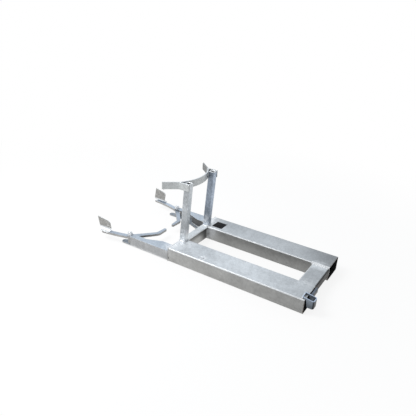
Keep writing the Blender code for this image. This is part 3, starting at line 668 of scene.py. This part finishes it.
def new_piece(name, mesh, material, body):
    """Put a finished mesh in the scene, on the body that carries it."""
    for polygon in mesh.polygons:
        polygon.use_smooth = True
    obj = bpy.data.objects.new(name, mesh)
    bpy.context.scene.collection.objects.link(obj)
    paint(obj, material)
    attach(obj, body)
    return obj


def mesh_from(verts, faces, name):
    """A mesh from points and faces, with its normals turned outwards."""
    mesh = bpy.data.meshes.new(name)
    mesh.from_pydata(verts, [], faces)
    work = bmesh.new()
    work.from_mesh(mesh)
    bmesh.ops.recalc_face_normals(work, faces=work.faces)
    work.to_mesh(mesh)
    work.free()
    return mesh


def circle(steps):
    """The cosine and sine of each step round a circle."""
    angles = [2 * math.pi * step / steps for step in range(steps)]
    return [(math.cos(angle), math.sin(angle)) for angle in angles]


def join_rings(faces, first, rows, steps, closed=False):
    """Add faces between rings of points that follow each other, and cap the ends or join them up."""
    last = first + (rows - 1) * steps
    pairs = [(first + row * steps, first + (row + 1) * steps) for row in range(rows - 1)]
    if closed:
        pairs.append((last, first))
    for here, beyond in pairs:
        for step in range(steps):
            after = (step + 1) % steps
            faces.append((here + step, here + after, beyond + after, beyond + step))
    if not closed:
        faces.append(tuple(reversed(range(first, first + steps))))
        faces.append(tuple(range(last, last + steps)))


def even_path(points, step):
    """The path's points again, at even steps, with the run at each."""
    points = [Vector(point) for point in points]
    lengths = [(b - a).length for a, b in zip(points, points[1:])]
    total = sum(lengths)
    count = max(6, round(total / step))
    result = []
    index = 0
    passed = 0.0
    for number in range(count + 1):
        run = total * number / count
        while index < len(lengths) - 1 and run > passed + lengths[index]:
            passed += lengths[index]
            index += 1
        share = (run - passed) / lengths[index]
        result.append((points[index].lerp(points[index + 1], share), run))
    return result, total


def bead(verts, faces, points, radius, seed):
    """Add one weld bead along a path: a rippled round with tapered ends and a slight wander."""
    stations, total = even_path(points, BEAD_STEP)
    first = len(verts)
    for number, (centre, run) in enumerate(stations):
        ahead = stations[min(number + 2, len(stations) - 1)][0]
        behind = stations[max(number - 2, 0)][0]
        along = (ahead - behind).normalized()
        side = along.cross(Vector((0.31, 0.17, 0.93))).normalized()
        over = side.cross(along)
        end = min(run, total - run) / (1.4 * radius)
        taper = math.sqrt(max(0.03, min(1.0, end * (2.0 - end)))) if end < 1.0 else 1.0
        wander = noise.noise(Vector((run * 70.0, seed, 0.0)))
        size = radius * taper * (1.0 + 0.12 * wander)
        shift = side * radius * 0.12 * noise.noise(Vector((run * 50.0, seed, 4.0)))
        for cosine, sine in circle(BEAD_SIDES):
            phase = run / RIPPLE + 0.3 * sine ** 2
            ripple = 1.0 + 0.10 * abs(math.sin(math.pi * phase))
            offset = side * cosine + over * sine
            verts.append(centre + shift + offset * size * ripple)
    join_rings(faces, first, len(stations), BEAD_SIDES)


def beads(name, paths, body="frame", metal=None):
    """One piece of weld metal made of several beads, each (points, radius)."""
    verts, faces = [], []
    for seed, (points, radius) in enumerate(paths):
        bead(verts, faces, points, radius, seed * 3.7 + len(name))
    new_piece(name, mesh_from(verts, faces, name), metal or WELD, body)


def flip(points, side):
    """The points on one side of the centre plane."""
    return [(side * x, y, z) for x, y, z in points]


def flipped(paths, side):
    """Several bead paths on one side of the centre plane."""
    return [(flip(points, side), radius) for points, radius in paths]


def rectangle(x0, x1, y0, y1, z, corner):
    """A closed path round a rectangle with cut corners, at one height."""
    return [
        (x0 + corner, y0, z),
        (x1 - corner, y0, z),
        (x1, y0 + corner, z),
        (x1, y1 - corner, z),
        (x1 - corner, y1, z),
        (x0 + corner, y1, z),
        (x0, y1 - corner, z),
        (x0, y0 + corner, z),
        (x0 + corner, y0, z),
    ]


# Welds

def weld_posts():
    """Beads round the posts' feet, and the zinc rim on their cut tops."""
    for side, hand in HANDS:
        front = post_front(POCKET_HEIGHT)
        height = POCKET_HEIGHT + 0.0006
        foot = rectangle(POST_INNER_X, POST_OUTER_X, front, front + POST_SIZE, height, 0.006)
        beads(f"weld_post_{hand}", [(flip(foot, side), FOOT_FILLET)])
        front = post_front(POST_TOP) + RIM_INSET
        rear = front + POST_SIZE - 2 * RIM_INSET
        low, high = POST_INNER_X + RIM_INSET, POST_OUTER_X - RIM_INSET
        rim = rectangle(low, high, front, rear, POST_TOP - 0.0036, 0.005)
        beads(f"zinc_rim_post_{hand}", [(flip(rim, side), RIM_RADIUS)])


def weld_cradle():
    """Beads where the band and the ears meet the posts."""
    bottom = BAND_BOTTOM + 0.002
    lap_y = post_front(0.5) + POST_SIZE
    under_y = post_front(BAND_BOTTOM) + 0.004
    touch_x = POST_INNER_X - PROUD
    butt_x = POST_OUTER_X - 0.0007
    lap_x = POST_OUTER_X + 0.0011
    under_x = POST_OUTER_X + 0.0009
    for side, hand in HANDS:
        band = [(touch_x, 0.0205, bottom), (touch_x, 0.0228, POST_TOP)]
        butt = [(butt_x, -0.0005, bottom), (butt_x, -0.0005, POST_TOP)]
        lap = [(lap_x, lap_y, bottom + 0.001), (lap_x, lap_y + 0.001, POST_TOP)]
        under = [(under_x, under_y, BAND_BOTTOM), (under_x, 0.060, BAND_BOTTOM)]
        paths = [(band, FILLET), (butt, SMALL_FILLET), (lap, SEAM), (under, UNDER_SEAM)]
        beads(f"weld_cradle_{hand}", flipped(paths, side))


def weld_cross_members():
    """Beads where the cap, the beam and the channel meet the pockets."""
    corner_x = INNER_X - PROUD
    for side, hand in HANDS:
        cap = [(INNER_X, -0.004, CAP_WELD), (INNER_X, 0.044, CAP_WELD)]
        beam = [(corner_x, BEAM_REAR, 0.004), (corner_x, BEAM_REAR, 0.089)]
        beads(f"weld_cap_{hand}", flipped([(cap, SMALL_FILLET)], side))
        beads(f"weld_beam_{hand}", flipped([(beam, BUTT)], side), metal=DULL_WELD)
        top = [(INNER_X, 0.858, CHANNEL_TOP_WELD), (INNER_X, 0.964, CHANNEL_TOP_WELD)]
        rear = [(corner_x, POCKET_END, height) for height in CHANNEL_LIP_WELD]
        front = [(corner_x, CHANNEL_FRONT, height) for height in CHANNEL_LIP_WELD]
        beads(f"weld_channel_{hand}", flipped([(top, TOP_FILLET)], side))
        beads(f"weld_channel_lips_{hand}", flipped([(rear, BUTT), (front, BUTT)], side), metal=DULL_WELD)
    under_cap = [(-0.118, 0.0370, UNDER_CAP), (0.118, 0.0370, UNDER_CAP)]
    beads("weld_cap_to_beam", [(under_cap, BUTT)], metal=DULL_WELD)


def weld_arm_root(side, hand):
    """Beads where an arm meets its pocket's end plate."""
    root_x = OUTER_X - PROUD
    top = [(0.2175, -PROUD, ARM_TOP_WELD), (0.3035, -PROUD, ARM_TOP_WELD)]
    outer = [(root_x, -PROUD, 0.0745), (root_x, -PROUD, 0.008)]
    inner = [
        (0.2160, -PROUD, 0.0690),
        (ARM_INNER_X, -PROUD, 0.0640),
        (ARM_INNER_X, -PROUD, ARM_FLOOR + 0.0005),
    ]
    flange = [(0.1970, -PROUD, ARM_FLOOR), (0.2200, -PROUD, ARM_FLOOR)]
    beads(f"weld_arm_root_{hand}", flipped([(top, ROOT_FILLET), (flange, FLANGE_FILLET)], side))
    sides = flipped([(outer, CORNER_SEAM), (inner, FILLET)], side)
    beads(f"weld_arm_root_sides_{hand}", sides, metal=DULL_WELD)


def weld_arm_seams(side, hand):
    """Beads along an arm's walls."""
    wall_z = ARM_FLOOR + 0.0002
    seam_x = OUTER_X - 0.0007
    wall = [(0.2208, -0.005, wall_z), (0.2208, -0.105, wall_z), (0.2515, -0.1780, wall_z)]
    over = [(seam_x, -0.008, 0.0680), (seam_x, ARM_FRONT, 0.0680)]
    under = [(seam_x, -0.008, 0.0141), (seam_x, ARM_FRONT, 0.0141)]
    paths = [(wall, SMALL_FILLET), (over, HAIR_SEAM), (under, HAIR_SEAM)]
    beads(f"weld_arm_seams_{hand}", flipped(paths, side), metal=DULL_WELD)


def weld_end_plate(side, hand):
    """Beads round the plate that closes a pocket's front end."""
    top_z = POCKET_HEIGHT - 0.0010
    low_x, high_x = INNER_X + 0.0010, OUTER_X - 0.0010
    across = [(0.135, END_PLATE_Y, top_z), (0.295, END_PLATE_Y, top_z)]
    down = [(high_x, END_PLATE_Y, 0.0900), (high_x, END_PLATE_Y, 0.0370)]
    inside = [(low_x, END_PLATE_Y, 0.0900), (low_x, END_PLATE_Y, 0.0100)]
    beads(f"weld_end_plate_{hand}", flipped([(across, SEAM)], side))
    sides = flipped([(down, FINE_SEAM), (inside, FINE_SEAM)], side)
    beads(f"weld_end_plate_sides_{hand}", sides, metal=DULL_WELD)


def weld_arms():
    """All the beads on the arms and on the pockets' front ends."""
    for side, hand in HANDS:
        weld_arm_root(side, hand)
        weld_arm_seams(side, hand)
        weld_end_plate(side, hand)


def spoon_place(out, along, height):
    """A point given along and across the left spoon's foot, above the lever's top."""
    foot = Vector((SPOON_FOOT[0] - PIVOT[0], SPOON_FOOT[1]))
    foot += Vector((math.cos(FLARE), math.sin(FLARE))) * out
    foot += Vector((math.sin(FLARE), -math.cos(FLARE))) * along
    return (PIVOT[0] + foot.x, PIVOT[1] + foot.y, LEVER_TOP + height)


def weld_spoons():
    """Beads on both sides of the spoons' feet."""
    for side, hand in HANDS:
        outer = [spoon_place(0.0312, 0.003, 0.0025), spoon_place(0.0312, 0.070, 0.0025)]
        inner = [spoon_place(0.0160, 0.003, 0.0015), spoon_place(0.0160, 0.076, 0.0015)]
        paths = [(outer, SPOON_FILLET), (inner, SMALL_FILLET)]
        beads(f"weld_spoon_{hand}", flipped(paths, side), f"claw_{hand}")


def weld_latch():
    """Beads on both sides of the hinge barrel."""
    height = POCKET_HEIGHT + 0.0003
    paths = [([(x, y, height) for x in BARREL_X], BARREL_SEAM) for y in BARREL_EDGES_Y]
    beads("weld_latch_barrel", paths)


# Fasteners

def turned_mesh(name, rows, closed):
    """A mesh from rows of (radius, height) pairs, one pair for each step round. Closed rows join up."""
    verts, faces = [], []
    steps = len(rows[0])
    for row in rows:
        for (radius, height), (cosine, sine) in zip(row, circle(steps)):
            verts.append((radius * cosine, radius * sine, height))
    join_rings(faces, 0, len(rows), steps, closed)
    return mesh_from(verts, faces, name)


def crisp(obj):
    """Keep the sharp edges of a smooth-shaded piece."""
    smooth = obj.modifiers.new("smooth", "NODES")
    smooth.node_group = SMOOTH
    normals = obj.modifiers.new("normals", "WEIGHTED_NORMAL")
    normals.keep_sharp = True


def nut_rows(bottom, top):
    """Rows of a hexagon nut whose corners are turned off to 30 degrees at both faces."""
    steps = 72
    apothem = NUT_ACROSS_FLATS / 2
    face = 0.96 * apothem
    bore = PIN_RADIUS + 0.0003
    mouth = 0.001
    lower, upper = [], []
    for step in range(steps):
        angle = math.radians(360.0 * step / steps % 60.0 - 30.0)
        radius = apothem / math.cos(angle)
        drop = (radius - face) * math.tan(math.radians(30.0))
        lower.append((radius, bottom + drop))
        upper.append((radius, top - drop))
    return [
        [(bore, bottom + mouth)] * steps,
        [(bore + mouth, bottom)] * steps,
        [(face, bottom)] * steps,
        lower,
        upper,
        [(face, top)] * steps,
        [(bore + mouth, top)] * steps,
        [(bore, top - mouth)] * steps,
    ]


def pin_rows(bottom, top):
    """Rows of a round pin with a screw thread on its upper end and chamfered ends."""
    steps = 48
    rows = [[(PIN_RADIUS - CHAMFER, bottom)] * steps, [(PIN_RADIUS, bottom + CHAMFER)] * steps]
    thread_start = top - THREAD_LENGTH
    rows.append([(PIN_RADIUS, thread_start - 0.001)] * steps)
    count = round(THREAD_LENGTH / THREAD_PITCH * 8)
    for number in range(count + 1):
        height = thread_start + THREAD_LENGTH * number / count
        limit = PIN_RADIUS - max(0.0, height - (top - CHAMFER))
        row = []
        for step in range(steps):
            phase = ((height - thread_start) / THREAD_PITCH - step / steps) % 1.0
            depth = THREAD_DEPTH * abs(2.0 * phase - 1.0)
            row.append((min(PIN_RADIUS - depth, limit), height))
        rows.append(row)
    return rows


def fastener(name, node, side, rows_between, closed):
    """A turned fastener that takes the place of one of the model's, with the same height."""
    low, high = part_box(node)
    mesh = turned_mesh(name, rows_between(low.z, high.z), closed)
    mesh.transform(Matrix.Translation((side * PIVOT[0], PIVOT[1], 0.0)))
    obj = new_piece(name, mesh, ZINC, "frame")
    crisp(obj)
    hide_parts(node)


def build_fasteners():
    """Chamfered nuts and threaded pins at both claw pivots."""
    for side, hand in HANDS:
        fastener(f"hex_nut_{hand}", f"pivot_nut_{hand}", side, nut_rows, True)
        fastener(f"threaded_pin_{hand}", f"pivot_pin_{hand}", side, pin_rows, False)


# Small things on the surface

def rounded_outline(low, high, radius):
    """The corners of a rectangle, each rounded in six steps."""
    centre = (low + high) / 2
    outline = []
    corners = ((high.x, high.y, 0), (low.x, high.y, 90), (low.x, low.y, 180), (high.x, low.y, 270))
    for x, y, start in corners:
        inner_x = x - math.copysign(radius, x - centre.x)
        inner_y = y - math.copysign(radius, y - centre.y)
        for step in range(7):
            angle = math.radians(start + 15 * step)
            outline.append((inner_x + radius * math.cos(angle), inner_y + radius * math.sin(angle)))
    return outline


def build_label():
    """A plain blank label on the right pocket's top, a thin film with round corners."""
    low, high = Vector(LABEL_LOW), Vector(LABEL_HIGH)
    centre = (low + high) / 2
    bottom = POCKET_HEIGHT + 0.00010
    outline = rounded_outline(low, high, LABEL_CORNER)
    verts, faces = [], []
    for shrink, height in ((1.0, bottom), (1.0, bottom + 0.0002), (0.996, bottom + 0.0003)):
        for x, y in outline:
            verts.append((centre.x + (x - centre.x) * shrink, centre.y + (y - centre.y) * shrink, height))
    join_rings(faces, 0, 3, len(outline))
    new_piece("blank_label", mesh_from(verts, faces, "blank_label"), LABEL, "frame")


def build_vent_rim():
    """The slight rim of zinc round the vent hole."""
    radius = VENT_RADIUS + 0.0009
    height = POCKET_HEIGHT + 0.0001
    ring = [(VENT[0] + radius * cosine, VENT[1] + radius * sine, height) for cosine, sine in circle(40)]
    beads("zinc_rim_vent", [(ring + ring[:1], VENT_RIM)])


def build_splashes():
    """Flat splashes of zinc round the vent and by the left post's foot, longer than they are wide."""
    verts, faces = [], []
    steps = 14
    rings = ((1.0, -0.1), (0.93, 0.35), (0.70, 0.75), (0.35, 0.95))
    for seed, (x, y, radius) in enumerate(SPLASHES):
        first = len(verts)
        for share, lift in rings:
            height = POCKET_HEIGHT + SPLASH_HEIGHT * lift
            for cosine, sine in circle(steps):
                wander = 1.0 + 0.35 * noise.noise(Vector((cosine, sine, seed * 2.3)))
                reach = radius * share * wander
                verts.append((x + reach * cosine, y + 1.6 * reach * sine, height))
        join_rings(faces, first, len(rings), steps)
    mesh = mesh_from(verts, faces, "zinc_splashes")
    new_piece("zinc_splashes", mesh, SPLASH, "frame")


def drips(name, places):
    """Frozen drops of zinc that hang below an edge, each (top of the drop, radius, length)."""
    verts, faces = [], []
    steps = 10
    profile = ((0.0, 1.15), (0.2, 0.95), (0.45, 0.62), (0.7, 0.55), (0.88, 0.50), (0.97, 0.28), (1.0, 0.08))
    for (x, y, z), radius, length in places:
        first = len(verts)
        for share, size in profile:
            reach = radius * size
            for cosine, sine in circle(steps):
                verts.append((x + reach * cosine, y + reach * sine, z - length * share))
        join_rings(faces, first, len(profile), steps)
    new_piece(name, mesh_from(verts, faces, name), WELD, "frame")


def build_drips():
    """Drips where the zinc ran off: under the cradle and the channel."""
    band = BAND_BOTTOM + 0.001
    cradle = [
        ((0.118, 0.0245, band), 0.0021, 0.0062),
        ((-0.112, 0.0265, band), 0.0019, 0.0052),
        ((0.2430, -0.0860, band), 0.0020, 0.0058),
        ((-0.2430, -0.0860, band), 0.0018, 0.0046),
    ]
    drips("zinc_drips_cradle", cradle)
    channel = [
        ((0.104, 0.9670, CHANNEL_LIP_BOTTOM), 0.0020, 0.0056),
        ((-0.035, 0.9670, CHANNEL_LIP_BOTTOM), 0.0017, 0.0042),
        ((-0.108, 0.8560, CHANNEL_LIP_BOTTOM), 0.0020, 0.0060),
    ]
    drips("zinc_drips_channel", channel)


dress_nodes()
weld_posts()
weld_cradle()
weld_cross_members()
weld_arms()
weld_spoons()
weld_latch()
build_fasteners()
build_label()
build_vent_rim()
build_splashes()
build_drips()


# Stage, light and camera

FLOOR_REACH = 60.0
FLOOR_HEIGHT = -0.0005
FLOOR_FADE = (0.9, 3.0)
AIM = Vector((0.0, 0.25, 0.1))
CAMERA_PLACE = Vector((2.48796, 1.59318, 1.65405))
CAMERA_YAW = -1.0325063
CAMERA_PITCH = 0.4332795
CAMERA_ROLL = 0.0617742
CAMERA_LENS = 40.248
CAMERA_SHIFT = (0.00127, 0.00033)


def build_stage():
    """A pale floor that reads as white and still takes the object's shadow."""
    mesh = bpy.data.meshes.new("floor")
    signs = ((-1, -1), (1, -1), (1, 1), (-1, 1))
    corners = [(FLOOR_REACH * x, FLOOR_REACH * y, FLOOR_HEIGHT) for x, y in signs]
    mesh.from_pydata(corners, [], [(0, 1, 2, 3)])
    floor = bpy.data.objects.new("floor", mesh)
    bpy.context.scene.collection.objects.link(floor)
    tree = Tree("pale_floor")
    tree.put(tree.shader, "Base Color", (0.90, 0.90, 0.90, 1.0))
    tree.put(tree.shader, "Roughness", 0.9)
    tree.put(tree.shader, "Specular IOR Level", 0.1)
    rays = tree.add("LightPath")
    seen = tree.math("MAXIMUM", rays.outputs["Is Camera Ray"], rays.outputs["Is Glossy Ray"])
    seen = tree.math("MAXIMUM", seen, rays.outputs["Is Transmission Ray"])
    glow = tree.add("Emission", (("Color", (1.0, 1.0, 1.0, 1.0)), ("Strength", 1.0)))
    place = tree.add("TexCoord").outputs["Object"]
    reach = tree.add("VectorMath", ((0, place),), operation="LENGTH").outputs["Value"]
    white = tree.ramp(reach, *FLOOR_FADE, 0.86, 1.0)
    blend = tree.add("MixShader", ((0, tree.math("MULTIPLY", seen, white)),))
    tree.links.new(tree.shader.outputs[0], blend.inputs[1])
    tree.links.new(glow.outputs[0], blend.inputs[2])
    tree.links.new(blend.outputs[0], tree.nodes["Material Output"].inputs["Surface"])
    mesh.materials.append(tree.material)


def build_world():
    """Soft light from all round, seen as white."""
    world = bpy.data.worlds.new("studio")
    bpy.context.scene.world = world
    world.use_nodes = True
    nodes, links = world.node_tree.nodes, world.node_tree.links
    soft = nodes["Background"]
    soft.inputs["Color"].default_value = (0.93, 0.965, 1.0, 1.0)
    soft.inputs["Strength"].default_value = 0.56
    white = nodes.new("ShaderNodeBackground")
    white.inputs["Color"].default_value = (1.0, 1.0, 1.0, 1.0)
    rays = nodes.new("ShaderNodeLightPath")
    mix = nodes.new("ShaderNodeMixShader")
    links.new(rays.outputs["Is Camera Ray"], mix.inputs[0])
    links.new(soft.outputs[0], mix.inputs[1])
    links.new(white.outputs[0], mix.inputs[2])
    links.new(mix.outputs[0], nodes["World Output"].inputs["Surface"])


def softbox(name, direction, distance, size, power, colour=(1.0, 1.0, 1.0)):
    """A square area light that looks at the middle of the object, in metres and watts."""
    data = bpy.data.lights.new(name, "AREA")
    data.shape = "SQUARE"
    data.size = size
    data.energy = power
    data.color = colour
    lamp = bpy.data.objects.new(name, data)
    direction = Vector(direction).normalized()
    lamp.location = AIM + direction * distance
    lamp.rotation_euler = direction.to_track_quat("Z", "Y").to_euler()
    bpy.context.scene.collection.objects.link(lamp)


def build_lights():
    """A high key over the left side, and a broad cool panel opposite the camera."""
    softbox("key", (0.42, -0.46, 0.78), 4.0, 2.0, 112.0)
    softbox("sky_panel", (-0.76, -0.38, 0.53), 5.0, 4.0, 34.0, (0.90, 0.95, 1.0))


def build_camera():
    """The camera at the photograph's angle."""
    forward = Vector((
        math.sin(CAMERA_YAW) * math.cos(CAMERA_PITCH),
        -math.cos(CAMERA_YAW) * math.cos(CAMERA_PITCH),
        -math.sin(CAMERA_PITCH),
    ))
    level = forward.cross(Vector((0.0, 0.0, 1.0))).normalized()
    rise = level.cross(forward)
    right = math.cos(CAMERA_ROLL) * level + math.sin(CAMERA_ROLL) * rise
    up = -math.sin(CAMERA_ROLL) * level + math.cos(CAMERA_ROLL) * rise
    data = bpy.data.cameras.new("camera")
    data.sensor_width = 36.0
    data.lens = CAMERA_LENS
    data.shift_x, data.shift_y = CAMERA_SHIFT
    camera = bpy.data.objects.new("camera", data)
    camera.matrix_world = Matrix((
        (right.x, up.x, -forward.x, CAMERA_PLACE.x),
        (right.y, up.y, -forward.y, CAMERA_PLACE.y),
        (right.z, up.z, -forward.z, CAMERA_PLACE.z),
        (0.0, 0.0, 0.0, 1.0),
    ))
    bpy.context.scene.collection.objects.link(camera)
    bpy.context.scene.camera = camera


build_stage()
build_world()
build_lights()
build_camera()
bpy.context.scene.view_settings.view_transform = "Standard"
